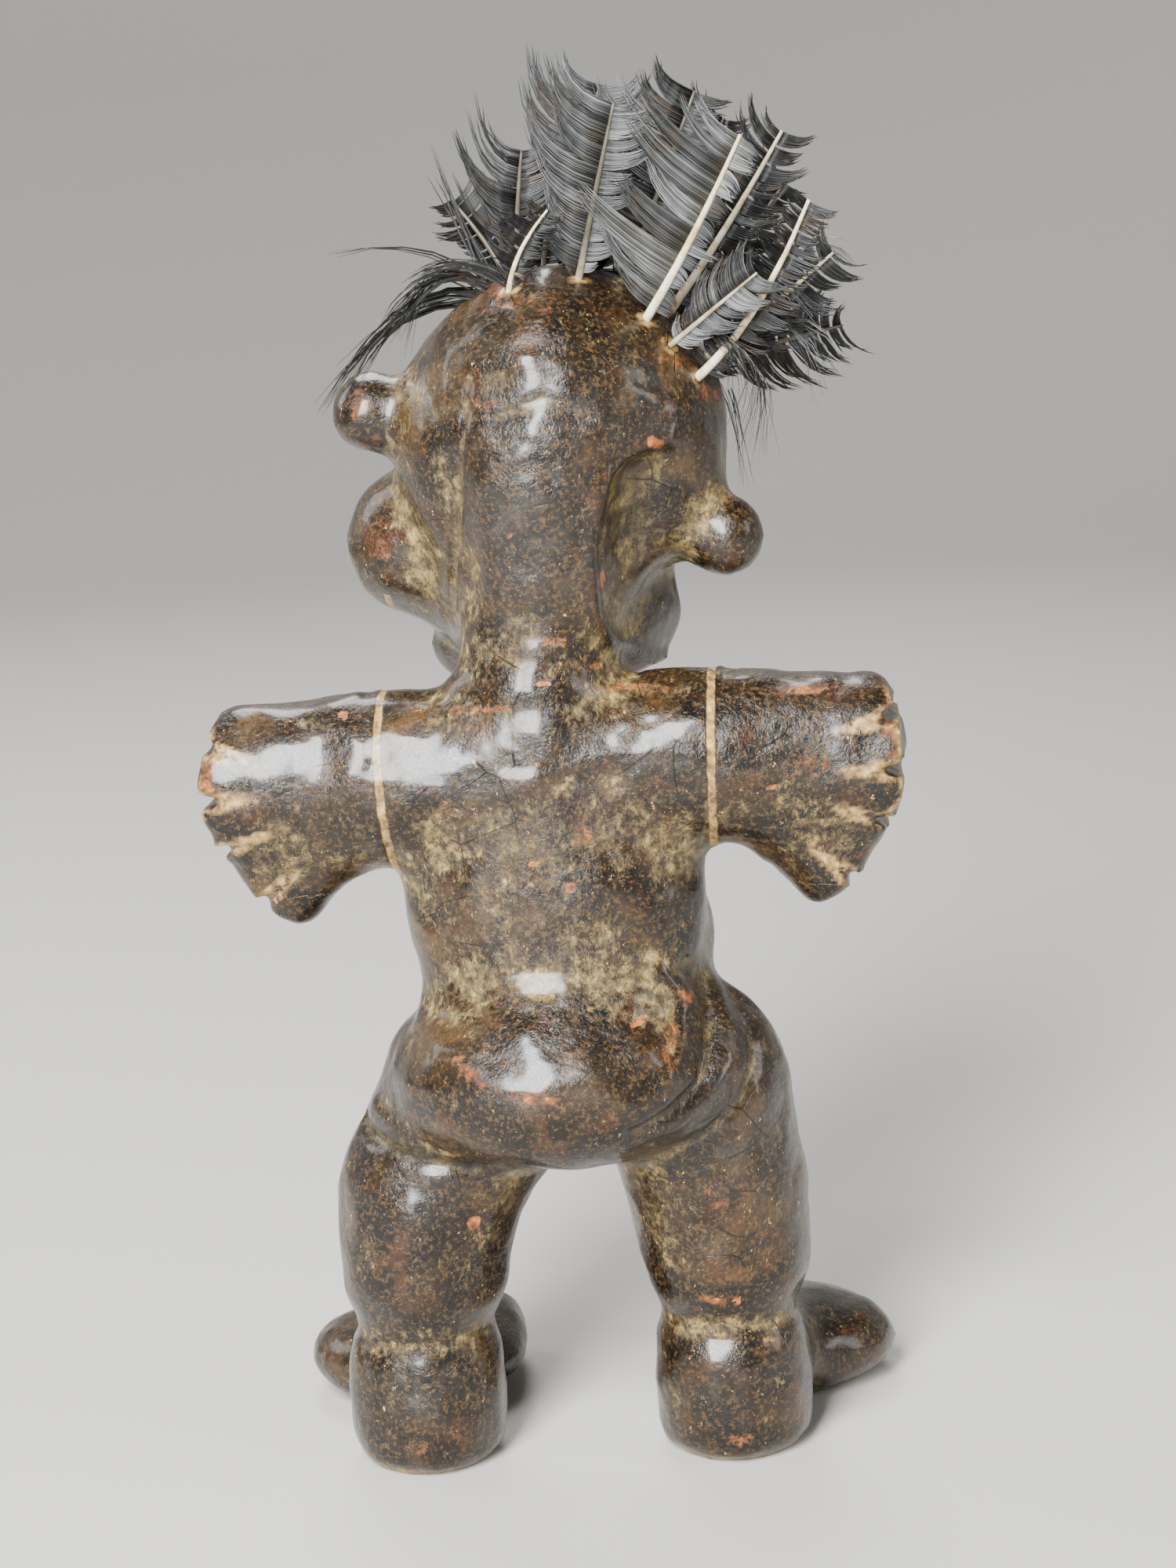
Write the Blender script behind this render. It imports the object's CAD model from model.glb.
# %% [markdown]
# # A standing figure of fired clay with a feather crest
#
# The real object is a hand-modelled clay figure, fired, blackened with pitch and oil and then handled until
# its high places shine. A tuft of trimmed wing feathers is stuck into holes in its crown.
#
# This lesson dresses the plain solids of the figure: first the clay, then the feathers, then the light. The
# solids come from a frame that is already exact, so nothing is measured or moved here.

# %% Load the frame
import math
import random

import bmesh
import bpy
import numpy as np
from mathutils import Matrix, Vector, noise
from mathutils.kdtree import KDTree


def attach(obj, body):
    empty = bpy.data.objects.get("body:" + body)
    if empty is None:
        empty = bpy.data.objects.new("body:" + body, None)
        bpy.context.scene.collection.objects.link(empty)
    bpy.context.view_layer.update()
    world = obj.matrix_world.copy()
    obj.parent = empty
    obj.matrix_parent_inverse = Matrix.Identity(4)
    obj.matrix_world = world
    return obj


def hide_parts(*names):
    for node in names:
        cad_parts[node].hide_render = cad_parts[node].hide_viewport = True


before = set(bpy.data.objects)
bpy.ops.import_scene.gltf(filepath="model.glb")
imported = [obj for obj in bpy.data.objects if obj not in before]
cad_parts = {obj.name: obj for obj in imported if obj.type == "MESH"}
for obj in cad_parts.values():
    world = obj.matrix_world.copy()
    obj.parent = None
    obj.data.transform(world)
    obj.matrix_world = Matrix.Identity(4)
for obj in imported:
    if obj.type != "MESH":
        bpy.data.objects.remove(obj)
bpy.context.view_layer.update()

# %% [markdown]
# ## Units and small helpers
#
# Everything is in metres, but a maker thinks of clay in millimetres, so sizes are written in millimetres and
# turned once. Colours are written as the hex values that a colour picker shows, and turned to linear light.

# %% Units and colours
MM = 0.001
random.seed(11)
rng = np.random.default_rng(11)


def linear(code):
    channels = [int(code[i:i + 2], 16) / 255 for i in (1, 3, 5)]
    return [c / 12.92 if c <= 0.04045 else ((c + 0.055) / 1.055) ** 2.4 for c in channels] + [1.0]


print("a mid grey in linear light:", round(linear("#808080")[0], 3))

# %% [markdown]
# A material is a net of small nodes. One function adds a node of any kind, with its settings and its inputs,
# and gives back an output, so that one line of the script reads like one sum or one mixing of two colours.

# %% One way to add a node
# the settings that come back often, so that a node's line stays short
TIMES = {"operation": "MULTIPLY"}
TIMES_PLUS = {"operation": "MULTIPLY_ADD"}
PLUS = {"operation": "ADD"}
PLUS_CLAMPED = {**PLUS, "use_clamp": True}
MINUS = {"operation": "SUBTRACT"}
MINUS_CLAMPED = {**MINUS, "use_clamp": True}
LARGER = {"operation": "MAXIMUM"}
SIZE_OF = {"operation": "ABSOLUTE"}
SOFT_STEP = {"interpolation_type": "SMOOTHSTEP"}  # 0 below the second input, 1 above the third
COLOURS = {"data_type": "RGBA"}


def add_node(kind, own=None, *in_order, out=0, **by_name):
    """Adds a node to the tree in hand, with its own settings and its inputs, and gives back one output.

    An input is a number, a hex colour or another node's output. It is given in order, by the name of its
    socket, or as _6 for the socket with that number. A ramp's own setting is a list of stops.
    """
    node = tree.nodes.new("ShaderNode" + kind)
    for key, value in (own or {}).items():
        if key == "stops":
            for i, (place, colour) in enumerate(value):
                stop = node.color_ramp.elements[i] if i < 2 else node.color_ramp.elements.new(1.0)
                stop.position, stop.color = place, linear(colour)
        else:
            setattr(node, key, value)
    for key, value in [*enumerate(in_order), *by_name.items()]:
        if isinstance(key, str):
            key = int(key[1:]) if key[0] == "_" else key.replace("_", " ")
        if isinstance(value, bpy.types.NodeSocket):
            tree.links.new(value, node.inputs[key])
        else:
            node.inputs[key].default_value = linear(value) if isinstance(value, str) else value
    return node.outputs[out] if node.outputs else node


def per_mm(size):
    """The scale of a pattern whose features are about size millimetres across."""
    return 1 / (size * MM)


def material(name):
    made = bpy.data.materials.new(name)
    made.use_nodes = True
    tree = made.node_tree
    tree.nodes.clear()
    return made, tree


print("a pattern of 2 mm has the scale", per_mm(2))

# %% [markdown]
# ## The camera
#
# The photograph was taken from behind the figure, a little above it and a few degrees to its right, from
# arm's length, with the camera tipped slightly. A short distance matters: it makes the near heels look large.

# %% Camera
target = Vector((-8.07, 16.28, 170.0)) * MM
camera_distance = 700 * MM
camera_elevation = math.radians(12)
camera_turn = math.radians(5)
camera_roll = math.radians(2.5)
sensor_side = 36.0  # millimetres, as a camera maker gives it
view_side = 2000 * 0.187 * MM  # what the long side of the picture takes in, at the target

back = Vector((
    -math.sin(camera_turn) * math.cos(camera_elevation),
    math.cos(camera_turn) * math.cos(camera_elevation),
    math.sin(camera_elevation),
))
level = Vector((0, 0, 1)).cross(back).normalized()
upright = back.cross(level)
rightward = level * math.cos(camera_roll) - upright * math.sin(camera_roll)
upward = upright * math.cos(camera_roll) + level * math.sin(camera_roll)
camera_data = bpy.data.cameras.new("camera")
camera_data.sensor_width = sensor_side
camera_data.lens = sensor_side * camera_distance / view_side
camera = bpy.data.objects.new("camera", camera_data)
camera.matrix_world = Matrix((rightward, upward, back)).transposed().to_4x4()
camera.location = target + back * camera_distance
bpy.context.scene.collection.objects.link(camera)
bpy.context.scene.camera = camera
print("lens:", round(camera_data.lens, 1), "mm")

# %% [markdown]
# ## The clay as a fine mesh
#
# The solid has flat facets, and thumbs leave none. A voxel remesh turns a merged copy of it into an even net
# of small quads, and smoothing melts the facets away. What a knife cut (finger and toe slits, the rings round
# the wrists, the sockets in the crown) has to stay crisp, so points near such a sharp edge keep still.

# %% Copy, remesh and smooth
net_size = 1.24 * MM  # fine enough for a knife's cut, coarse enough for 200,000 triangles
sharp_angle = math.radians(52)
crisp_reach = 1.2 * MM
smoothing_rounds = 22


def merged(node):
    bm = bmesh.new()
    bm.from_mesh(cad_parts[node].data)
    bmesh.ops.remove_doubles(bm, verts=bm.verts, dist=1e-6)
    return bm


def points_on_sharp_edges(bm, spacing):
    points = []
    for edge in bm.edges:
        if edge.calc_face_angle(0.0) > sharp_angle:
            a, b = (v.co for v in edge.verts)
            count = max(1, int((b - a).length / spacing))
            points += [a.lerp(b, i / count) for i in range(count + 1)]
    return points


def tree_of(points):
    tree = KDTree(len(points))
    for i, p in enumerate(points):
        tree.insert(p, i)
    tree.balance()
    return tree


solid = merged("figure")
floor_height = min(v.co.z for v in solid.verts)


def is_tool_cut(p):
    """Wrist rings and finger slits, toe slits, and the sockets of the crown."""
    x, y, z = abs(p.x / MM), p.y / MM, (p.z - floor_height) / MM
    on_arm = x > 34 and 145 < z < 212
    on_toes = y < -18 and 0.2 < z < 32
    return on_arm or on_toes or z > 262


cuts = [p for p in points_on_sharp_edges(solid, 0.8 * MM) if is_tool_cut(p)]
cut_tree = tree_of(cuts)
mesh = bpy.data.meshes.new("clay_figure")
solid.to_mesh(mesh)
solid.free()
clay = bpy.data.objects.new("clay_figure", mesh)
bpy.context.scene.collection.objects.link(clay)
remesh = clay.modifiers.new("net", "REMESH")
remesh.mode = "VOXEL"
remesh.voxel_size = net_size
fine = bpy.data.meshes.new_from_object(clay.evaluated_get(bpy.context.evaluated_depsgraph_get()))
clay.modifiers.remove(remesh)
clay.data = fine
fine.name = "clay_figure"

bm = bmesh.new()
bm.from_mesh(fine)
free = [v for v in bm.verts if cut_tree.find(v.co)[2] > crisp_reach and v.co.z > floor_height + 0.3 * MM]
for _ in range(smoothing_rounds):
    bmesh.ops.smooth_vert(bm, verts=free, factor=0.5, use_axis_x=True, use_axis_y=True, use_axis_z=True)
bmesh.ops.smooth_vert(bm, verts=bm.verts, factor=0.5, use_axis_x=True, use_axis_y=True, use_axis_z=False)
bm.to_mesh(fine)
bm.free()
print("clay net:", len(fine.vertices), "points,", len(cuts), "points on cut edges")

# %% [markdown]
# ## What hands, tools and years did to the surface
#
# Each mark is a push along the surface normal, in or out, by up to a few millimetres: slow swellings from
# pressing thumbs, small pits, folds where one lump of clay was pressed on another, and broken-off flakes.
# The same pass notes for every point how sheltered it is, because dust stays where no hand reaches.

# %% Read the net into arrays
count = len(fine.vertices)
spots = np.empty(count * 3)
fine.vertices.foreach_get("co", spots)
spots = spots.reshape(-1, 3)
edge_ends = np.empty(len(fine.edges) * 2, int)
fine.edges.foreach_get("vertices", edge_ends)
edge_ends = edge_ends.reshape(-1, 2)
valence = np.bincount(edge_ends.ravel(), minlength=count)[:, None]


def normals_now():
    fine.vertices.foreach_set("co", spots.ravel())
    fine.update()
    out = np.empty(count * 3)
    fine.vertex_normals.foreach_get("vector", out)
    return out.reshape(-1, 3)


def spread(values, rounds):
    """Averages values over the net, one ring of neighbours a round."""
    values = values.reshape(count, -1)
    for _ in range(rounds):
        total = np.zeros_like(values)
        for k in range(values.shape[1]):
            total[:, k] = np.bincount(edge_ends[:, 0], values[edge_ends[:, 1], k], count)
            total[:, k] += np.bincount(edge_ends[:, 1], values[edge_ends[:, 0], k], count)
        values = 0.5 * values + 0.5 * total / valence
    return values


def noise_at(size, offset=0.0):
    """Smooth noise from -1 to 1 whose lumps are about size across."""
    return np.array([noise.noise(Vector(p) / size + Vector((offset, 0, 0))) for p in spots])


def smooth_step(low, high, values):
    t = np.clip((values - low) / (high - low), 0, 1)
    return t * t * (3 - 2 * t)

# %% [markdown]
# Named marks on the back are placed by how far they lie to the figure's left (x) and how high (z). Each is an
# oval that only touches points which face backwards.

# %% Marks with a place of their own
def oval(x, z, half_width, half_height, lean=0.0, facing=1):
    """1 in the middle of an oval on the back (facing 1) or the front (facing -1), 0 outside it."""
    a = math.radians(lean)
    dx, dz = spots[:, 0] / MM - x, spots[:, 2] / MM - z
    along, across = dx * math.cos(a) + dz * math.sin(a), dz * math.cos(a) - dx * math.sin(a)
    return np.exp(-(along / half_width) ** 2 - (across / half_height) ** 2) * (facing * normals[:, 1] > 0.1)


def stroke(points, width, facing=1):
    """1 on a line of (x, z) places, fading to 0 at width to each side."""
    best = np.full(count, 1e9)
    flat = spots[:, [0, 2]] / MM
    for a, b in zip(points[:-1], points[1:]):
        a, b = np.array(a, float), np.array(b, float)
        t = np.clip(((flat - a) @ (b - a)) / ((b - a) @ (b - a)), 0, 1)
        best = np.minimum(best, np.linalg.norm(flat - a - t[:, None] * (b - a), axis=1))
    return np.clip(1 - best / width, 0, 1) ** 1.5 * (facing * normals[:, 1] > 0.0)


def eased(places, rounds):
    """Lets the net sag where the places are, as a thumb does that blends one lump of clay into the next."""
    out = spots.copy()
    for _ in range(rounds):
        out += places[:, None] * (spread(out, 1) - out)
    return out

# %% [markdown]
# Clay is added to clay in lumps, and a wet thumb blends each lump into the next. At the waist, under the
# shoulders and across the brow the net is left to sag, which takes away the crease that the solid has there.

# %% Blended joins
normals = normals_now()
joins = [(-3, 118, 33, 11, -1, 1), (-27, 200, 9, 6, 20, 1), (20, 200, 8, 6, -20, 1), (0, 262, 26, 8, 5, 1)]
join_places = np.clip(sum(oval(*join) for join in joins), 0, 1)
join_places = spread(join_places, 4)[:, 0]
spots = eased(join_places, 170)
normals = normals_now()
print("blended points:", int((join_places > 0.1).sum()))

# %% [markdown]
# Folds are lines that were measured on the back: rolls and troughs beside the seat, the crease under it, the
# edges of the column at the nape. Pitch gathered in the deepest ones, and they stay black and shiny.

# %% Folds, dents and flakes
folds = [
    # a line of (x, z) places, its half width, its push in mm, and how much pitch it holds
    # the seat's right edge, the trough beyond it, a roll, and a second trough before the thigh
    ([(-24, 128), (-29, 120), (-30, 111), (-26, 105)], 3.0, 1.5, 0.0),
    ([(-30, 128), (-35, 119), (-36, 111), (-34, 103), (-27, 97), (-18, 93)], 3.2, -2.2, 1.0),
    ([(-37, 121), (-40, 112), (-40, 105), (-35, 99), (-27, 93)], 2.6, 1.0, 0.0),
    ([(-39, 120), (-45, 112), (-46, 104), (-43, 96), (-35, 89), (-23, 83)], 3.0, -1.7, 0.8),
    # the deep crease under the left seat
    ([(53, 88), (45, 86), (38, 84), (30, 82), (21, 81), (12, 82)], 2.6, -2.4, 1.2),
    ([(50, 93), (40, 90), (26, 88)], 3.0, 0.5, 0.0),
    # the flat top of the seat ends in an edge
    ([(33, 114), (24, 111), (16, 107), (3, 106), (-8, 108), (-19, 110), (-26, 113)], 6.0, 0.9, 0.0),
    # dents in a band below the crown
    ([(14, 271), (-1, 272), (-12, 269), (-22, 264), (-36, 258)], 3.2, 0.7, 0.0),
    ([(18, 262), (8, 259), (-4, 263), (-14, 258)], 3.6, -0.8, 0.0),
    ([(12, 255), (2, 257), (-8, 254)], 3.0, 0.5, 0.0),
    # the column that runs up from the neck: a sharp edge at its right, a groove at its left
    ([(-31, 252), (-22, 250), (-17, 245), (-14, 236), (-12, 225),
      (-12, 213), (-15, 205), (-23, 196), (-38, 196)], 2.8, 1.9, 0.0),
    ([(14, 268), (16, 254), (18, 240), (20, 228), (23, 214), (28, 200)], 1.8, -1.2, 0.5),
    # the back of the shoulders, and ridges across the ankles
    ([(30, 197), (12, 195), (-6, 197)], 3.0, 0.5, 0.0),
    ([(6, 175), (-1, 176), (-12, 180), (-28, 182), (-38, 179)], 2.4, 0.6, 0.0),
    ([(57, 31), (46, 36), (36, 37), (21, 32)], 1.4, 0.5, 0.0),
    ([(-22, 35), (-36, 35), (-55, 32)], 1.4, 0.5, 0.0),
]
dents = [
    # x, z, half width, half height, lean, push
    (-25, 228, 9, 17, 8, -3.0), (-33, 238, 7, 10, 0, -1.4), (30, 228, 7, 15, -8, -1.2),
    (2, 240, 9, 16, 0, 0.7), (0, 119, 27, 7, -2, 2.2), (0, 140, 14, 8, 0, -0.5),
    (20, 176, 16, 7, 0, 0.5), (-20, 182, 18, 6, 0, 0.5), (-3, 162, 8, 12, 0, -0.5), (10, 276, 12, 6, 0, 0.5),
    (-16, 270, 9, 6, 30, -0.6), (27, 262, 8, 8, 0, -0.6), (60, 182, 9, 7, 0, 0.4), (-62, 182, 9, 7, 0, -0.5),
    (36, 62, 7, 12, 0, 0.7), (-38, 66, 8, 13, 0, 0.6), (24, 50, 6, 9, 0, -0.5), (-24, 52, 6, 9, 0, -0.5),
    (36, 20, 8, 9, 0, 0.4), (-36, 22, 8, 8, 0, 0.4), (28, 150, 6, 10, 0, -0.6), (-28, 152, 6, 10, 0, -0.7),
]
flakes = [
    (-27.7, 251.6, 2.4, 1.7, 20, 0.55), (22.6, 66.2, 1.8, 2.2, 0, 0.5), (-14.6, 220.2, 1.0, 2.4, 10, 0.35),
    (-19, 117, 2.6, 1.0, -30, 0.3), (6, 232, 1.2, 0.8, 0, 0.2),
    (48, 190, 1.6, 0.8, 15, 0.3), (-52, 172, 1.2, 0.8, 0, 0.3), (-40, 44, 1.2, 1.6, 0, 0.25),
    (4, 156, 1.4, 1.0, 0, 0.25), (-5, 150, 1.2, 1.4, 0, 0.2), (0, 198, 2.6, 0.8, 8, 0.3),
    (-12, 200, 1.8, 0.7, 0, 0.3),
]
from_cut = np.array([cut_tree.find(Vector(p))[2] for p in spots]) / MM
height = np.zeros(count)
pitch = np.zeros(count)
for places, width, push, tar in folds:
    height += push * stroke(places, width)
    if tar:
        pitch = np.maximum(pitch, tar * stroke(places, 2.0 * width))
for x, z, half_width, half_height, lean, push in dents:
    height += push * oval(x, z, half_width, half_height, lean)
chip = np.zeros(count)
for x, z, half_width, half_height, lean, depth in flakes:
    spot = smooth_step(0.35, 0.6, oval(x, z, half_width, half_height, lean) + 0.12 * noise_at(1.6 * MM, x))
    height -= depth * spot
    chip = np.maximum(chip, spot)
print("folds:", len(folds), "flakes:", len(flakes))

# %% [markdown]
# No thumb leaves a plane. Noise of four sizes, from 19 mm down to 2 mm, gives the swellings, its folded kind
# gives the soft edges between two strokes of a thumb, and small bowls are pits from grit that fell out.

# %% Thumb marks and pits all over
pit_count = 700
thumbed = 0.3 - np.abs(noise_at(17 * MM, 3))
height += 0.5 * noise_at(19 * MM) + 1.1 * thumbed
height += 0.32 * noise_at(8 * MM, 7) + 0.16 * noise_at(3.4 * MM, 13)
rough_ground = smooth_step(-0.2, 0.4, noise_at(24 * MM, 31))
height += 0.22 * rough_ground * noise_at(2.2 * MM, 17)
pits = tree_of([Vector(p) for p in spots])
for index in rng.choice(count, pit_count, replace=False):
    radius = rng.uniform(0.9, 3.4) * MM
    depth = rng.uniform(0.06, 0.36)
    for _, near, distance in pits.find_range(Vector(spots[index]), radius):
        height[near] -= depth * (1 - (distance / radius) ** 2) ** 2
keep_sole = smooth_step(0.2, 2.5, spots[:, 2] / MM - floor_height / MM)
height = spread(height, 2)[:, 0] * smooth_step(0.6, 2.4, from_cut)
spots = spots + normals * (height * keep_sole * MM)[:, None]
normals = normals_now()
print("surface moved by up to", round(float(np.abs(height).max()), 2), "mm")

# %% [markdown]
# Shelter is measured by smoothing the figure heavily and asking on which side of its old skin each point then
# lies. Points in creases come out ahead of it and ridges fall behind. Two widths are kept: a fine one for
# scratches and rims, and a wide one for the folds of the body.

# %% Shelter, ridges and raw cuts, kept as attributes
def shelter(rounds, scale):
    softened = spread(spots, rounds)
    return np.einsum("ij,ij->i", softened - spots, normals) / (scale * MM)


fine_shelter = shelter(5, 0.16)
wide_shelter = shelter(70, 1.1)
pitch = np.maximum(pitch, smooth_step(0.75, 1.7, wide_shelter))
pitch = np.clip(pitch + 0.8 * oval(-25, 232, 7, 18, 8) + 0.5 * oval(-34, 150, 5, 12), 0, 1)
sole_rub = 0.9 * (1 - smooth_step(0.4, 3.2, (spots[:, 2] - floor_height) / MM + 1.6 * noise_at(5 * MM, 41)))
sooty_places = [
    # where smoke, not dust, gave the colour: charcoal grey, smooth and shiny
    (1, 238, 15, 26, 0), (-8, 261, 24, 9, 10), (-38, 82, 12, 14, 0), (-38, 106, 9, 18, 10),
    (-30, 92, 14, 7, 0),
    (36, 76, 14, 5, 0), (0, 112, 22, 7, 0), (-62, 184, 16, 7, 0), (62, 180, 12, 6, 0), (-16, 182, 22, 6, 0),
    (18, 178, 16, 6, 0), (38, 24, 7, 10, 0), (-38, 22, 7, 10, 0),
]
dusty_places = [
    # where pale earth dried on and nobody wipes
    (38, 16, 19, 19, 0), (-38, 16, 19, 19, 0), (6, 206, 24, 7, 0), (2, 145, 25, 9, 0), (-36, 222, 6, 16, 0),
    (66, 158, 13, 12, 0), (-66, 158, 13, 12, 0), (26, 222, 5, 22, 0), (-22, 66, 9, 16, 0),
    (-30, 126, 18, 5, 0),
]
dusty = np.zeros(count)
for place in dusty_places:
    dusty = np.maximum(dusty, oval(*place))
dusty = spread(dusty, 3)[:, 0]
soot = np.zeros(count)
for place in sooty_places:
    soot = np.maximum(soot, oval(*place))
soot = np.clip(1.25 * spread(soot, 3)[:, 0], 0, 1)


def ring_plane(sign):
    """The plane in which the knife went round a wrist: a point of it and its normal."""
    ring = np.array([p for p in cuts if 34 < sign * p.x / MM < 50 and p.z / MM > 148])
    middle = ring.mean(axis=0)
    return middle, np.linalg.svd(ring - middle)[2][2]


ring_distance = np.full(count, 9.0)
for sign in (1, -1):
    middle, across_ring = ring_plane(sign)
    apart = (spots - middle) @ across_ring / MM
    on_arm = (sign * spots[:, 0] > 32 * MM) & (spots[:, 2] > 146 * MM) & (spots[:, 2] < 215 * MM)
    ring_distance = np.where(on_arm, np.clip(apart, -9, 9), ring_distance)
    print("wrist ring", sign, np.round(middle / MM, 1), np.round(across_ring, 2))
raw_cut = 1 - smooth_step(0.75, 1.35, from_cut + 0.35 * noise_at(2.5 * MM, 5))
wear_places = [
    (4, 284, 16, 5, 5), (-32, 270, 12, 4, 35), (-40, 261, 7, 3, 40), (-20, 194.5, 16, 1.6, 2),
    (17, 191.5, 16, 1.4, -5), (20, 110, 7, 5.5, 30), (4, 104, 12, 3.0, 10), (-27, 113, 3, 8, 12),
    (-31, 121, 4, 3, 0), (-80, 188, 4, 14, 0), (80, 176, 4, 12, 0), (8, 288, 9, 3, -10), (-35, 44, 6, 2.5, 0),
    (46, 197, 12, 1.4, 0), (-62, 193, 14, 1.6, -3), (40, 10, 7, 4, 0), (-40, 8, 8, 4, 0),
    (-3, 207, 5, 2.5, 0),
    (-10, 162, 10, 5, 0), (24, 170, 5, 6, 0), (-60, 176, 12, 5, 0), (56, 172, 8, 8, 0), (40, 226, 4, 9, 0),
    (42, 262, 5, 6, 0), (-44, 238, 5, 5, 0), (-36, 70, 6, 12, 0), (10, 262, 10, 4, 0),
]
wear = np.zeros(count)
for x, z, half_width, half_height, lean in wear_places:
    strength = 1.0 if min(half_width, half_height) < 4 else 0.78
    wear = np.maximum(wear, strength * oval(x, z, half_width, half_height, lean))
ridge = smooth_step(0.25, 1.2, -fine_shelter) * smooth_step(0.1, 0.7, -wide_shelter)
wear = np.clip(wear + 0.25 * ridge, 0, 1)

for name, values in {
    "dust": np.clip(0.46 + 0.5 * wide_shelter + 0.22 * fine_shelter + 0.17 * dusty, 0, 0.86),
    "wear": wear, "chip": chip, "raw_cut": np.maximum(raw_cut * (np.abs(ring_distance) > 4), sole_rub),
    "pitch": pitch, "soot": soot, "ring": ring_distance,
}.items():
    layer = fine.attributes.new(name, "FLOAT", "POINT")
    layer.data.foreach_set("value", values.astype(np.float32))
    top_tenth = np.quantile(values, 0.9)
    print(name, "mean", round(float(values.mean()), 3), "top tenth from", round(float(top_tenth), 2))
fine.polygons.foreach_set("use_smooth", np.ones(len(fine.polygons), bool))

# %% [markdown]
# ## Blackened, hand-polished terracotta
#
# Fired clay is orange and dull. Smoke, pitch and palm oil made a near-black skin on it, hands polished the
# skin until it reflects like old leather, khaki dust dried on in the hollows, and where the skin is rubbed or
# knocked off the orange body shows. So one material holds all these finishes, and masks choose between them.
# Fired clay has an index of refraction near 1.5, which is the shader's own value.

# %% The smoked skin
clay_finish, tree = material("blackened_terracotta")
where = add_node("TexCoord", out=3)
skin = add_node(
    "ValToRGB", {"stops": [(0.34, "#050403"), (0.47, "#110c07"), (0.58, "#271c0f"), (0.7, "#46341c")]},
    add_node("TexNoise", Vector=where, Scale=per_mm(19), Detail=6.0, Roughness=0.68, Distortion=0.8),
)
red_brown = add_node(
    "MapRange", SOFT_STEP,
    add_node("TexNoise", Vector=where, Scale=per_mm(9), Detail=5.0, Roughness=0.65),
    0.53, 0.68,
)
skin = add_node("Mix", COLOURS, add_node("Math", TIMES, red_brown, 0.36), out=2, _6=skin, _7="#4a2814")
charcoal = add_node(
    "ValToRGB", {"stops": [(0.35, "#0c0b0b"), (0.52, "#201e1c"), (0.68, "#3b3731")]},
    add_node("TexNoise", Vector=where, Scale=per_mm(7), Detail=5.0, Roughness=0.7),
)
sooted = add_node(
    "Math", TIMES,
    add_node("Attribute", {"attribute_name": "soot"}, out=2),
    add_node(
        "MapRange", SOFT_STEP,
        add_node("TexNoise", Vector=where, Scale=per_mm(8), Detail=4.0, Roughness=0.6),
        0.3, 0.58,
    ),
)
skin = add_node("Mix", COLOURS, add_node("Math", TIMES, sooted, 0.85), out=2, _6=skin, _7=charcoal)
fine_grain = add_node("TexNoise", Vector=where, Scale=per_mm(1.2), Detail=4.0, Roughness=0.75)
skin = add_node(
    "Mix", COLOURS,
    add_node("Math", TIMES, add_node("MapRange", SOFT_STEP, fine_grain, 0.5, 0.62), 0.5),
    out=2, _6=skin, _7="#5c4527",
)
print("nodes for the skin:", len(tree.nodes))

# %% [markdown]
# Earth and palm oil dried on the clay as a thin khaki crust, brushed on in strokes about 2 mm wide. It is
# matt and a little raised, and it lies thickest where no hand wipes.

# %% Dried-on earth
dust_colour = add_node(
    "ValToRGB", {"stops": [(0.34, "#241c10"), (0.46, "#4e4026"), (0.57, "#7e6b40"), (0.7, "#b39c64")]},
    add_node("TexNoise", Vector=where, Scale=per_mm(3.0), Detail=6.0, Roughness=0.75),
)
brushed = add_node(
    "TexNoise",
    Vector=add_node("Mapping", Vector=where, Scale=(1.0, 1.0, 0.6)), Scale=per_mm(1.9), Detail=5.0,
    Roughness=0.82, Distortion=0.5,
)
broad = add_node("TexNoise", Vector=where, Scale=per_mm(12), Detail=5.0, Roughness=0.65)
dust = add_node(
    "Math", PLUS,
    add_node("Math", TIMES, add_node("Attribute", {"attribute_name": "dust"}, out=2), 0.8),
    add_node("Math", TIMES, brushed, 1.6),
)
dust = add_node("Math", PLUS, dust, add_node("Math", TIMES, broad, 0.75))
dust = add_node("Math", MINUS, dust, add_node("Math", TIMES, sooted, 0.2))
dust = add_node("MapRange", SOFT_STEP, dust, 1.48, 1.86)
dirty = add_node("Mix", COLOURS, add_node("Math", TIMES, dust, 0.86), out=2, _6=skin, _7=dust_colour)

flecks = add_node(
    "MapRange", SOFT_STEP,
    add_node(
        "TexNoise",
        Vector=add_node("Mapping", Vector=where, Scale=(1, 1, 0.6)), Scale=per_mm(1.7), Detail=4.0,
        Roughness=0.85,
    ),
    0.645, 0.69,
)
dirty = add_node("Mix", COLOURS, add_node("Math", TIMES, flecks, 0.8), out=2, _6=dirty, _7="#c8a96c")
print("nodes with the earth:", len(tree.nodes))

# %% [markdown]
# Where hands rub and where a flake broke off, the fired body shows: brick orange and dull, broken up into
# specks about 3 mm across.

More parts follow.
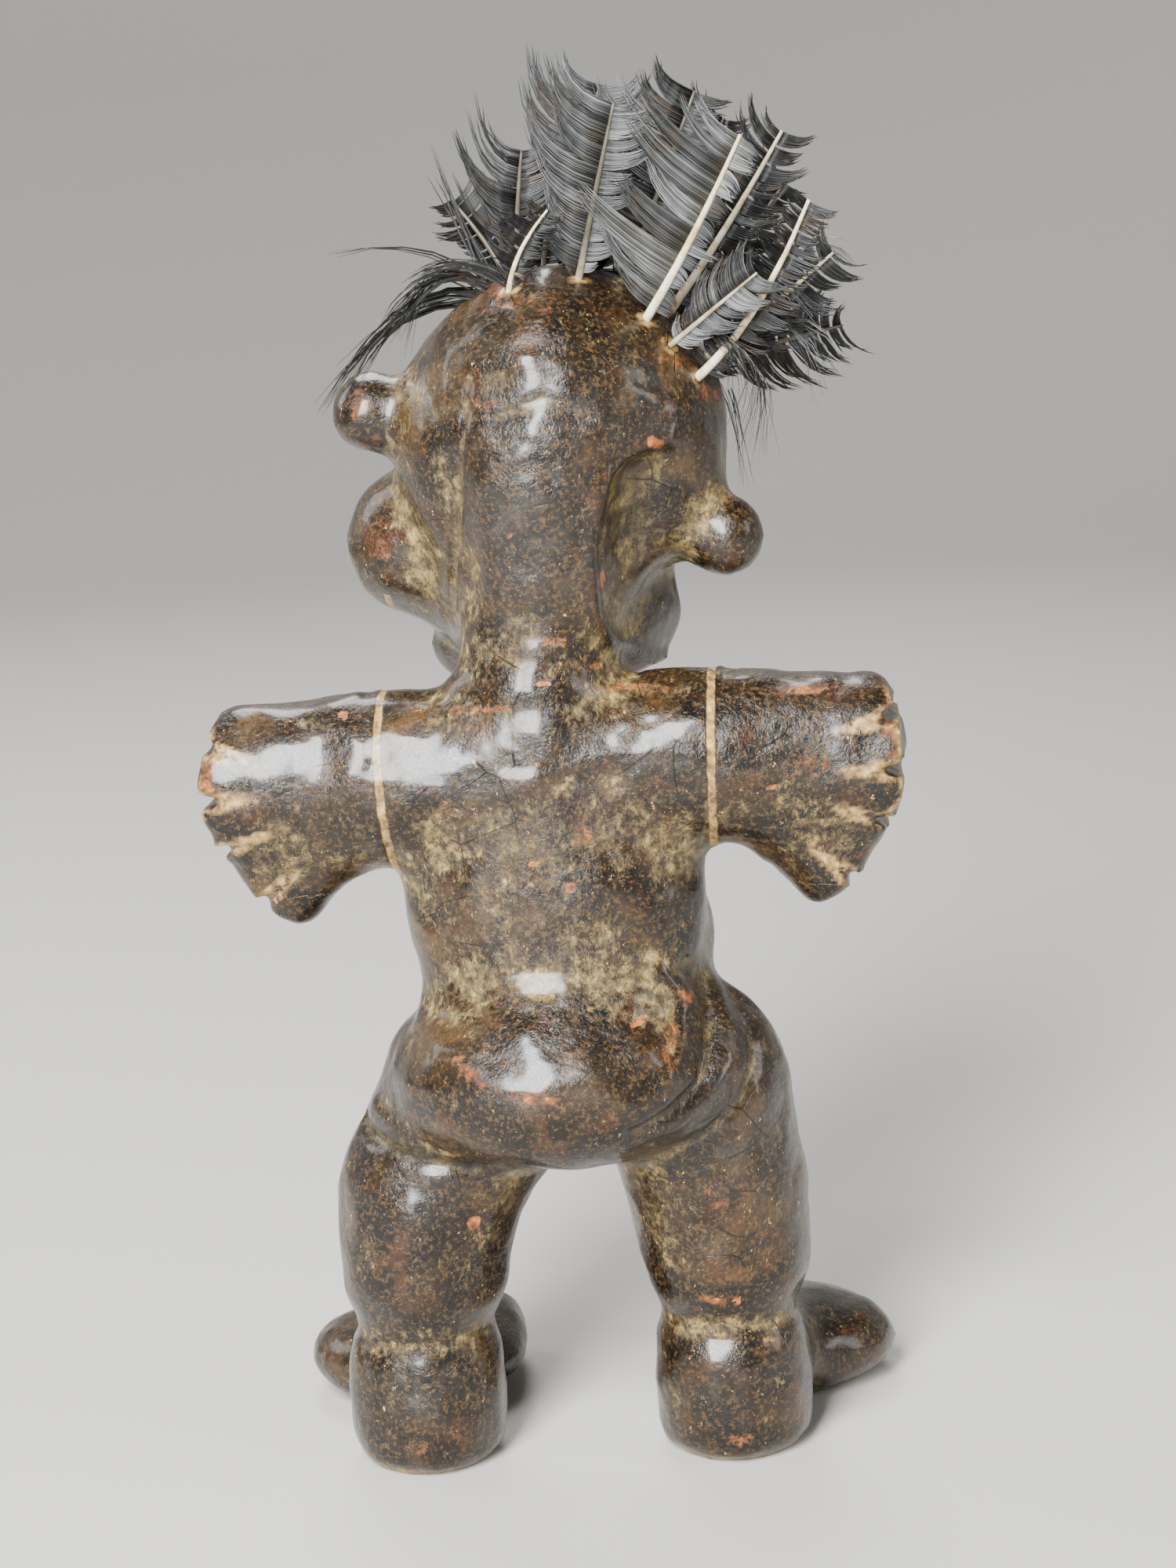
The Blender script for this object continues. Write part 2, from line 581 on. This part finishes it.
# %% Rubbed and chipped places
orange = add_node(
    "ValToRGB", {"stops": [(0.34, "#4c2812"), (0.47, "#8a4b20"), (0.58, "#b36a30"), (0.7, "#d49a5c")]},
    add_node("TexNoise", Vector=where, Scale=per_mm(2.6), Detail=5.0, Roughness=0.65),
)
patchy = add_node("TexNoise", Vector=where, Scale=per_mm(3.2), Detail=7.0, Roughness=0.8, Distortion=0.4)
rubbed = add_node(
    "Math", PLUS,
    add_node("Math", TIMES, add_node("Attribute", {"attribute_name": "wear"}, out=2), 0.38),
    patchy,
)
rubbed = add_node("MapRange", SOFT_STEP, rubbed, 0.76, 0.95)
rubbed = add_node(
    "Math", LARGER,
    add_node("Math", TIMES, rubbed, 0.75),
    add_node(
        "Math", TIMES,
        add_node("MapRange", SOFT_STEP, add_node("Attribute", {"attribute_name": "chip"}, out=2), 0.4, 0.7),
        0.9,
    ),
)
worn = add_node("Mix", COLOURS, rubbed, out=2, _6=dirty, _7=orange)
print("nodes with the bare places:", len(tree.nodes))

# %% [markdown]
# A knife went round each wrist and slit the fingers and toes when the skin was already dry, so its cuts are
# the colour of raw clay. Pitch is the opposite: black, smooth and shiny, in the deepest folds.

# %% Knife cuts and pitch
cut_tone = add_node(
    "ValToRGB", {"stops": [(0.35, "#5a4426"), (0.55, "#a3834f"), (0.7, "#cfae70")]},
    add_node("TexNoise", Vector=where, Scale=per_mm(2.2), Detail=4.0, Roughness=0.6),
)
ring_wobble = add_node(
    "Math", TIMES,
    add_node(
        "Math", MINUS,
        add_node("TexNoise", Vector=where, Scale=per_mm(5), Detail=3.0, Roughness=0.6),
        0.5,
    ),
    1.2,
)
ring = add_node(
    "Math", SIZE_OF,
    add_node("Math", PLUS, add_node("Attribute", {"attribute_name": "ring"}, out=2), ring_wobble),
)
ring = add_node("Math", MINUS, 1.0, add_node("MapRange", SOFT_STEP, ring, 0.75, 1.25))
cut_mask = add_node(
    "Math", TIMES,
    add_node("Attribute", {"attribute_name": "raw_cut"}, out=2),
    add_node(
        "MapRange", SOFT_STEP,
        add_node("TexNoise", Vector=where, Scale=per_mm(3), Detail=4.0, Roughness=0.6),
        0.34, 0.52,
    ),
)
cut_mask = add_node("Math", LARGER, cut_mask, ring)
tarred = add_node(
    "Math", TIMES,
    add_node("Attribute", {"attribute_name": "pitch"}, out=2),
    add_node(
        "MapRange", SOFT_STEP,
        add_node("TexNoise", Vector=where, Scale=per_mm(6), Detail=4.0, Roughness=0.6),
        0.3, 0.55,
    ),
)
worn = add_node("Mix", COLOURS, add_node("Math", TIMES, tarred, 0.9), out=2, _6=worn, _7="#0c0907")
worn = add_node("Mix", COLOURS, add_node("Math", TIMES, cut_mask, 0.85), out=2, _6=worn, _7=cut_tone)
print("nodes with cuts and pitch:", len(tree.nodes))

# %% [markdown]
# Polish follows handling: a roughness from about 0.2 to 0.35 in clouds of 6 mm on the bare skin, more on
# earth, raw clay and rubbed places, less on pitch and soot.

# %% Gloss
matte = add_node(
    "Math", LARGER,
    add_node("Math", LARGER, dust, rubbed),
    add_node("Math", LARGER, cut_mask, flecks),
)
polish = add_node(
    "Math", TIMES_PLUS,
    add_node("TexNoise", Vector=where, Scale=per_mm(6), Detail=5.0, Roughness=0.65),
    0.34, 0.1,
)
roughness = add_node("Math", PLUS_CLAMPED, polish, add_node("Math", TIMES, matte, 0.22))
roughness = add_node("Math", MINUS_CLAMPED, roughness, add_node("Math", TIMES, tarred, 0.14))
roughness = add_node("Math", MINUS_CLAMPED, roughness, add_node("Math", TIMES, sooted, 0.05))
print("nodes with the gloss:", len(tree.nodes))

# %% [markdown]
# The finest relief is bump, a few tenths of a millimetre high: grain, brush strokes, the edge of the earth
# crust, a leather-like net of 1.7 mm, hair cracks 15 mm apart, and pebbly swellings of 2 and 5 mm.

# %% Fine relief
crack_cells = add_node(
    "TexVoronoi", {"feature": "DISTANCE_TO_EDGE"},
    Vector=where, Scale=per_mm(15), Randomness=1.0,
)
crack = add_node("Math", MINUS, 1.0, add_node("MapRange", SOFT_STEP, crack_cells, 0.0, 0.014))
crack = add_node(
    "Math", TIMES, crack,
    add_node(
        "MapRange", SOFT_STEP,
        add_node("TexNoise", Vector=where, Scale=per_mm(21), Detail=2.0, Roughness=0.5),
        0.56, 0.62,
    ),
)
leather = add_node(
    "TexVoronoi", {"feature": "DISTANCE_TO_EDGE"},
    Vector=where, Scale=per_mm(1.7), Randomness=1.0,
)
streaks = add_node(
    "TexNoise",
    Vector=add_node("Mapping", Vector=where, Scale=(1.0, 1.0, 0.25)), Scale=per_mm(1.2), Detail=4.0,
    Roughness=0.7,
)
relief = add_node(
    "Math", PLUS,
    add_node("Math", TIMES, fine_grain, 0.5),
    add_node("Math", TIMES, streaks, 0.4),
)
relief = add_node(
    "Math", PLUS, relief,
    add_node("Math", TIMES, add_node("MapRange", SOFT_STEP, leather, 0.0, 0.12), 0.1),
)
relief = add_node("Math", PLUS, relief, add_node("Math", TIMES, dust, 0.38))
relief = add_node("Math", MINUS, relief, add_node("Math", TIMES, rubbed, 0.4))
relief = add_node("Math", MINUS, relief, add_node("Math", TIMES, crack, 1.0))
relief = add_node("Math", MINUS, relief, add_node("Math", TIMES, ring, 1.8))
relief = add_node(
    "Math", PLUS, relief,
    add_node(
        "Math", TIMES,
        add_node("TexNoise", Vector=where, Scale=per_mm(5), Detail=4.0, Roughness=0.6),
        1.1,
    ),
)
relief = add_node(
    "Math", PLUS, relief,
    add_node(
        "Math", TIMES,
        add_node(
            "TexNoise",
            Vector=add_node("Mapping", Vector=where, Scale=(0.6, 0.6, 1.0)), Scale=per_mm(2.1), Detail=2.0,
            Roughness=0.5,
        ),
        0.85,
    ),
)
relief = add_node(
    "Math", PLUS, relief,
    add_node(
        "Math", TIMES,
        add_node("TexNoise", Vector=where, Scale=per_mm(0.6), Detail=2.0, Roughness=0.6),
        0.08,
    ),
)
bump = add_node("Bump", Strength=0.9, Distance=0.3 * MM, Height=relief)
worn = add_node("Mix", COLOURS, add_node("Math", TIMES, crack, 0.7), out=2, _6=worn, _7="#0d0906")
print("nodes with the relief:", len(tree.nodes))

# %% [markdown]
# All masks now meet in one shader. The weak clear coat is the hand polish: a sharper second reflection over
# the duller one of the skin, as on old leather.

# %% The finished clay
surface = add_node(
    "BsdfPrincipled",
    Base_Color=worn, Roughness=roughness, IOR=1.5, Specular_IOR_Level=0.27, Coat_Weight=0.42,
    Coat_Roughness=0.15, Normal=bump,
)
add_node("OutputMaterial", Surface=surface)
fine.materials.clear()
fine.materials.append(clay_finish)
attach(clay, "root")
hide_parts("figure")
print("clay material nodes:", len(tree.nodes))

# %% [markdown]
# ## Feathers
#
# A feather is a horny shaft with two rows of barbs. Old, handled feathers split: neighbouring barbs cling
# together in locks that part from each other and curl, and stray ones stand off. So each barb is its own
# thin, flat, pointed sliver, and barbs of one lock share a tip. The slivers are copies of one small rod.

# %% A sliver and a way to bend it along a path
def tapered_rod(segments, cuts, name):
    """A closed rod of unit length and radius along Z, cut into rings so that it can bend."""
    bm = bmesh.new()
    bmesh.ops.create_cone(bm, cap_ends=True, segments=segments, radius1=1, radius2=1, depth=1)
    long_edges = [e for e in bm.edges if abs(e.verts[0].co.z - e.verts[1].co.z) > 0.5]
    bmesh.ops.subdivide_edges(bm, edges=long_edges, cuts=cuts, use_grid_fill=True)
    bmesh.ops.translate(bm, verts=bm.verts, vec=(0, 0, 0.5))
    made = bpy.data.meshes.new(name)
    bm.to_mesh(made)
    bm.free()
    return made


sliver = tapered_rod(3, 4, "sliver")
shaft_rod = tapered_rod(8, 12, "shaft_rod")


def grow(bm, rod, path, wide, across, thin_share, tone, horn):
    """Adds a copy of the rod along path(u), u from 0 to 1, wide(u) broad in the direction across."""
    first = len(bm.verts)
    bm.from_mesh(rod)
    bm.verts.ensure_lookup_table()
    tone_layer, horn_layer = bm.verts.layers.float["tone"], bm.verts.layers.float["horn"]
    for v in bm.verts[first:]:
        u = v.co.z
        here = path(u)
        forward = (path(min(1, u + 0.02)) - path(max(0, u - 0.02))).normalized()
        broad = (across - forward * across.dot(forward)).normalized()
        thin = forward.cross(broad)
        size = wide(u)
        v.co = here + broad * (v.co.x * size) + thin * (v.co.y * size * thin_share)
        v[tone_layer] = tone
        v[horn_layer] = horn(u) if callable(horn) else horn


def arc(a, b, c):
    """The curve that leaves a towards b and ends in c."""
    return lambda u: a * (1 - u) ** 2 + b * (2 * u * (1 - u)) + c * u ** 2

# %% [markdown]
# Each CAD feather is a row of diamond-shaped rings round its middle line, so the line is read back from it:
# its points sorted along its length come in fours, and the middle of each four is a point of the line.

# %% The middle line of a feather's solid
skull = Vector((-0.9, -0.7, 243)) * MM


def spine_of(node):
    bm = merged(node)
    points = [v.co.copy() for v in bm.verts]
    bm.free()
    root = min(points, key=lambda p: (p - skull).length)
    tip = max(points, key=lambda p: (p - root).length)
    points.sort(key=lambda p: (p - root).dot(tip - root))
    rings = [points[i:i + 4] for i in range(0, len(points), 4)]
    middles = [sum(ring, Vector()) / 4 for ring in rings]
    broadest = rings[4]
    a, b = max(((p, q) for p in broadest for q in broadest), key=lambda pair: (pair[0] - pair[1]).length)
    across = (b - a).normalized()
    return middles, across if across.x < 0 else -across


def along_points(points):
    """A function of 0 to 1 that runs smoothly through points, even in length."""
    steps = [0.0]
    for a, b in zip(points[:-1], points[1:]):
        steps.append(steps[-1] + (b - a).length)

    def place(u):
        wanted = u * steps[-1]
        i = max(k for k in range(len(steps) - 1) if steps[k] <= wanted + 1e-12)
        share = (wanted - steps[i]) / max(steps[i + 1] - steps[i], 1e-9)
        return points[i].lerp(points[i + 1], share)

    return place

# %% [markdown]
# What varies from feather to feather: how wide the vane is to either side, how far its barbs sweep towards
# the tip, how pale the shaft is, and how dark the vane is. Seen from behind, the wide grey vanes stand at the
# crest's left, two long pale shafts in its middle, and ragged ones with thick shafts at its right.

# %% How each feather differs
# left, right, shaft and up are in millimetres, the rest are shares from 0 to 1
plain = dict(left=15.0, right=10.0, sweep=0.55, horn=0.1, tone=0.3, shaft=0.9, ragged=0.4, bow=0.4, up=0.0)
habits = {
    "feather_1a": dict(left=9.0, right=7.0, horn=1.0, tone=0.1, ragged=0.8, shaft=0.7),
    "feather_1b": dict(left=21.0, right=12.0, sweep=0.50, horn=0.1, tone=0.60, ragged=0.15, bow=0.5, up=6.0),
    "feather_1c": dict(left=30.0, right=8.0, sweep=0.12, horn=0.95, tone=0.62, ragged=0.10, shaft=1.2,
                       bow=0.1, up=7.0),
    "feather_1d": dict(left=11.0, right=11.0, sweep=0.35, horn=0.95, tone=0.18, ragged=0.9, shaft=1.35),
    "feather_1e": dict(left=9.0, right=9.0, sweep=0.9, horn=0.5, tone=0.55, ragged=0.2, shaft=0.7),
    "feather_2a": dict(left=17.0, right=12.0, sweep=0.7, tone=0.42, ragged=0.4, up=4.0),
    "feather_2b": dict(left=22.0, right=16.0, sweep=0.7, horn=0.05, tone=0.64, ragged=0.15, bow=0.7),
    "feather_2c": dict(left=26.0, right=14.0, sweep=0.3, horn=0.1, tone=0.5, ragged=0.2, bow=0.5, up=5.0),
    "feather_2d": dict(left=16.0, right=12.0, horn=0.6, tone=0.25, ragged=0.8, shaft=1.1),
    "feather_2e": dict(left=13.0, right=13.0, horn=0.7, tone=0.4, ragged=1.0),
    "feather_3a": dict(left=10.0, right=14.0, tone=0.06, ragged=0.7),
    "feather_3b": dict(left=18.0, right=14.0, tone=0.10, ragged=0.5),
    "feather_3c": dict(left=18.0, right=14.0, tone=0.08, ragged=0.6),
    "feather_3e": dict(left=12.0, right=14.0, tone=0.2, ragged=1.0),
    "feather_4a": dict(left=18.0, right=14.0, tone=0.08, ragged=0.6),
}

# %% [markdown]
# Barbs grow in locks. A lock leans towards the tip of the feather and its barbs gather at one place, which is
# what leaves the gaps between the locks. Each barb starts a third of a millimetre after the one before it.

# %% Rows of barbs
barb_spacing = 0.36 * MM
barb_half_width = 0.29 * MM


def barbs_on(bm, place, tangent, across, facing, side, reach, habit, length):
    """One row of barbs from the bare quill to the tip, in locks."""
    u = 0.03 + 0.03 * random.random()
    while u < 0.995:
        in_lock = random.randint(7, 20) if habit["ragged"] < 0.3 else random.randint(4, 11)
        spacing = barb_spacing / length
        fade = min(1.0, 0.5 + 2.2 * u) * (1.0 - 0.35 * max(0.0, u - 0.6) / 0.4)
        out = reach * MM * fade * random.uniform(0.62, 1.15)
        curl = random.uniform(-1, 1) * habit["ragged"]
        lift = facing * out * (0.10 * random.uniform(-1, 1) + 0.35 * curl * random.random())
        lean = habit["sweep"] * random.uniform(0.8, 1.25)
        tone = min(1.0, max(0.0, habit["tone"] + random.uniform(-0.16, 0.16)))
        base = place(u)
        ahead = tangent(u)
        rise = ahead * (habit["up"] * MM * random.uniform(0.4, 1.2) * (side < 0))
        lock_tip = base + across * (side * out * 0.86) + ahead * (out * lean) + rise + lift
        for k in range(in_lock):
            at = u + k * spacing
            if at > 0.995:
                break
            start = place(at)
            gather = 0.42 + 0.25 * habit["ragged"] * random.random()
            jitter = Vector([random.gauss(0, 0.22 * MM) for _ in range(3)])
            end = lock_tip + (start - base) * (1 - gather) + jitter
            end = start + (end - start) * random.uniform(0.86, 1.04)
            knee = start + across * (side * out * (0.5 + 0.3 * habit["bow"])) + ahead * (out * lean * 0.10)
            if random.random() < 0.06 * (1 + 2 * habit["ragged"]):
                end += facing * random.gauss(0, 1.6 * MM) - ahead * random.uniform(0, 2.5 * MM)
            grow(bm, sliver, arc(start, knee, end), lambda t: barb_half_width * (1 - 0.9 * t ** 3), ahead,
                 0.32, tone + random.uniform(-0.16, 0.16), 0.0)
        u += in_lock * spacing + random.uniform(0.0, 0.25 + 0.7 * habit["ragged"]) * MM / length

# %% [markdown]
# A whole feather is its shaft, bent along the middle line and thinning to the tip, with a row of barbs to each
# side. The shaft is palest at its base, where it was never feathered.

# %% One feather from shaft and barbs
widest_quill = 1.08 * MM  # what the sockets leave room for


def make_feather(node):
    habit = {**plain, **habits.get(node, {})}
    middles, across = spine_of(node)
    above = middles[1:]  # the first point lies in the socket
    place = along_points(above)
    length = sum((b - a).length for a, b in zip(above[:-1], above[1:]))
    whole = along_points(middles)

    def tangent(u):
        return (place(min(1, u + 0.05)) - place(max(0, u - 0.05))).normalized()

    facing = tangent(0.5).cross(across).normalized()
    bm = bmesh.new()
    bm.verts.layers.float.new("tone")
    bm.verts.layers.float.new("horn")
    thick = habit["shaft"] * MM
    pale = habit["horn"]

    def quill(t):
        return min(thick, widest_quill) * (1.0 - 0.62 * max(0.0, t - 0.2) / 0.8)

    grow(bm, shaft_rod, whole, quill, across, 0.85, 0.3, lambda t: max(pale, 0.75 - 2.2 * t))
    barbs_on(bm, place, tangent, across, facing, -1, habit["left"], habit, length)
    barbs_on(bm, place, tangent, across, facing, 1, habit["right"], habit, length)
    made = bpy.data.meshes.new("plume_" + node[-2:])
    bmesh.ops.recalc_face_normals(bm, faces=bm.faces)
    bm.to_mesh(made)
    bm.free()
    made.polygons.foreach_set("use_smooth", np.ones(len(made.polygons), bool))
    piece = bpy.data.objects.new(made.name, made)
    bpy.context.scene.collection.objects.link(piece)
    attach(piece, "root")
    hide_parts(node)
    return piece


plumes = [make_feather(node) for node in sorted(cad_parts) if node.startswith("feather_")]
print("feathers:", len(plumes), "faces:", sum(len(p.data.polygons) for p in plumes))

# %% [markdown]
# ## Stray strands
#
# A few broken barbs and hairs hang out of the crest to both sides. They are drawn as single slivers along
# arcs, grouped by where they leave the crown.

# %% Stray strands
strand_half_width = 0.26 * MM
stray_places = [
    # leaves (x, y, z), turns towards, ends at, how many, how far they part at the end
    ((14, 8, 286), (30, 14, 290), (44, 17, 268), 26, 1.6),
    ((16, 6, 284), (36, 12, 284), (49, 19, 261), 12, 1.2),
    ((12, 10, 288), (24, 16, 296), (33, 20, 277), 30, 2.4),
    ((12, 4, 288), (26, 8, 301), (46, 12, 297), 4, 0.8),
    ((10, 4, 288), (20, 8, 306), (20, 10, 316), 10, 2.2),
    ((6, 14, 289), (18, 18, 297), (27, 20, 290), 16, 1.6),
    ((-42, 8, 268), (-56, 14, 274), (-50, 18, 250), 26, 3.0),
    ((-42, 4, 268), (-62, 10, 286), (-66, 14, 264), 22, 3.4),
    ((-44, 10, 262), (-47, 14, 256), (-47, 16, 240), 8, 1.4),
    ((-50, 4, 288), (-66, 6, 300), (-74, 6, 290), 8, 2.0),
    ((-34, 12, 276), (-48, 20, 278), (-48, 24, 262), 26, 2.6),
    ((-40, 12, 280), (-56, 18, 292), (-62, 20, 280), 20, 3.0),
]
bm = bmesh.new()
bm.verts.layers.float.new("tone")
bm.verts.layers.float.new("horn")
for leaves, turns, ends, strands, parting in stray_places:
    for _ in range(strands):
        shake = [Vector([random.gauss(0, s) for _ in range(3)]) for s in (0.8, 0.7 * parting, parting)]
        a, b, c = ((Vector(p) + s) * MM for p, s in zip((leaves, turns, ends), shake))
        grow(bm, sliver, arc(a, b, c), lambda t: strand_half_width * (1 - 0.85 * t ** 2),
             Vector((0, 0.3, 1)), 0.4, random.uniform(0.0, 0.6), 0.0)
bmesh.ops.recalc_face_normals(bm, faces=bm.faces)
strand_mesh = bpy.data.meshes.new("stray_strands")
bm.to_mesh(strand_mesh)
bm.free()
strands = bpy.data.objects.new("stray_strands", strand_mesh)
bpy.context.scene.collection.objects.link(strands)
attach(strands, "root")
print("stray strands:", sum(place[3] for place in stray_places))

# %% [markdown]
# ## Feather material
#
# Barbs and shaft are both keratin. Pigment makes the barbs slate to black, with a silky gloss; the shaft has
# little of it and stays horn-coloured, creamy at the base. The stored tone and horn values choose the colour.

# %% Barbs and shaft
feather_finish, tree = material("slate_wing_feather")
where = add_node("TexCoord", out=3)
barb = add_node(
    "ValToRGB", {"stops": [(0.0, "#040404"), (0.3, "#101010"), (0.62, "#3f4141"), (1.0, "#8a8c8a")]},
    add_node("Attribute", {"attribute_name": "tone"}, out=2),
)
brown = add_node(
    "MapRange", SOFT_STEP,
    add_node("TexNoise", Vector=where, Scale=per_mm(9), Detail=3.0, Roughness=0.6),
    0.5, 0.66,
)
barb = add_node("Mix", COLOURS, add_node("Math", TIMES, brown, 0.45), out=2, _6=barb, _7="#3a2b1a")
horn_colour = add_node(
    "ValToRGB", {"stops": [(0.35, "#b99f74"), (0.55, "#d9cdb0"), (0.75, "#ece6d6")]},
    add_node("TexNoise", Vector=where, Scale=per_mm(3), Detail=3.0, Roughness=0.6),
)
keratin = add_node(
    "Mix", COLOURS,
    add_node("Attribute", {"attribute_name": "horn"}, out=2),
    out=2, _6=barb, _7=horn_colour,
)
dull = add_node(
    "MapRange", SOFT_STEP,
    add_node("TexNoise", Vector=where, Scale=per_mm(4), Detail=3.0, Roughness=0.6),
    0.4, 0.7,
)
silkiness = add_node("Math", TIMES_PLUS, dull, 0.2, 0.32)
surface = add_node(
    "BsdfPrincipled",
    Base_Color=keratin, Roughness=silkiness, IOR=1.54, Specular_IOR_Level=0.4,
)
add_node("OutputMaterial", Surface=surface)
for piece in [*plumes, strands]:
    piece.data.materials.clear()
    piece.data.materials.append(feather_finish)
print("feather material nodes:", len(tree.nodes))

# %% [markdown]
# ## Floor and light
#
# A plain pale floor that bends up into a wall all round, so that no view shows an edge. It is a profile spun
# about the figure.

# %% Floor
floor_finish, tree = material("matt_grey_paint")  # wall paint rolled on board: even, with no sheen
surface = add_node("BsdfPrincipled", Base_Color=linear("#b3b1ad"), Roughness=0.9)
add_node("OutputMaterial", Surface=surface)
sweep_radius, sweep_bend, sweep_top = 1.6, 0.9, 3.2
bm = bmesh.new()
profile = [(0.0, 0.0), (sweep_radius, 0.0)]
profile += [(sweep_radius + sweep_bend * math.sin(a), sweep_bend * (1 - math.cos(a)))
            for a in (math.radians(d) for d in range(9, 91, 9))]
profile.append((sweep_radius + sweep_bend, sweep_top))
line = [bm.verts.new((r, 0, floor_height + h)) for r, h in profile]
edges = [bm.edges.new(pair) for pair in zip(line[:-1], line[1:])]
bmesh.ops.spin(
    bm, geom=line + edges, cent=(0, 0, 0), axis=(0, 0, 1), angle=math.tau, steps=72, use_merge=True,
)
bmesh.ops.remove_doubles(bm, verts=bm.verts, dist=1e-5)
bmesh.ops.recalc_face_normals(bm, faces=bm.faces)
for face in bm.faces:
    face.smooth = True
floor_mesh = bpy.data.meshes.new("floor")
bm.to_mesh(floor_mesh)
bm.free()
floor = bpy.data.objects.new("floor", floor_mesh)
floor_mesh.materials.append(floor_finish)
bpy.context.scene.collection.objects.link(floor)
print("floor faces:", len(floor_mesh.polygons))

# %% [markdown]
# A tall soft lamp behind the camera gives the broad sheen on skull, shoulders and seat, a weak one at each
# side keeps the outline readable, one above the face lights the front, and the sky is dim.

# %% Lamps and sky
aim = Vector((0, 0, 160)) * MM  # the middle of the figure
lamps = [
    # name, place, width and height in metres, watts
    ("tall_window_behind_camera", (0.34, 1.15, 0.86), 0.44, 1.2, 104),
    ("right_side", (-1.1, 0.35, 0.55), 0.3, 0.8, 5),
    ("left_side", (1.0, -0.3, 0.8), 0.4, 0.8, 6),
    ("front_of_figure", (0.25, -0.95, 1.45), 0.7, 0.7, 24),
]
for name, place_at, wide, tall, watts in lamps:
    data = bpy.data.lights.new(name, "AREA")
    data.shape = "RECTANGLE"
    data.size = wide
    data.size_y = tall
    data.energy = watts
    lamp = bpy.data.objects.new(name, data)
    lamp.location = place_at
    lamp.rotation_mode = "QUATERNION"
    lamp.rotation_quaternion = (aim - Vector(place_at)).to_track_quat("-Z", "Y")
    bpy.context.scene.collection.objects.link(lamp)

sky = bpy.data.worlds.new("soft_sky")
sky.use_nodes = True
sky.node_tree.nodes["Background"].inputs["Color"].default_value = linear("#e8ebf0")
sky.node_tree.nodes["Background"].inputs["Strength"].default_value = 0.06
bpy.context.scene.world = sky
print("lamps:", len(lamps), "with", sum(lamp[-1] for lamp in lamps), "watts in all")
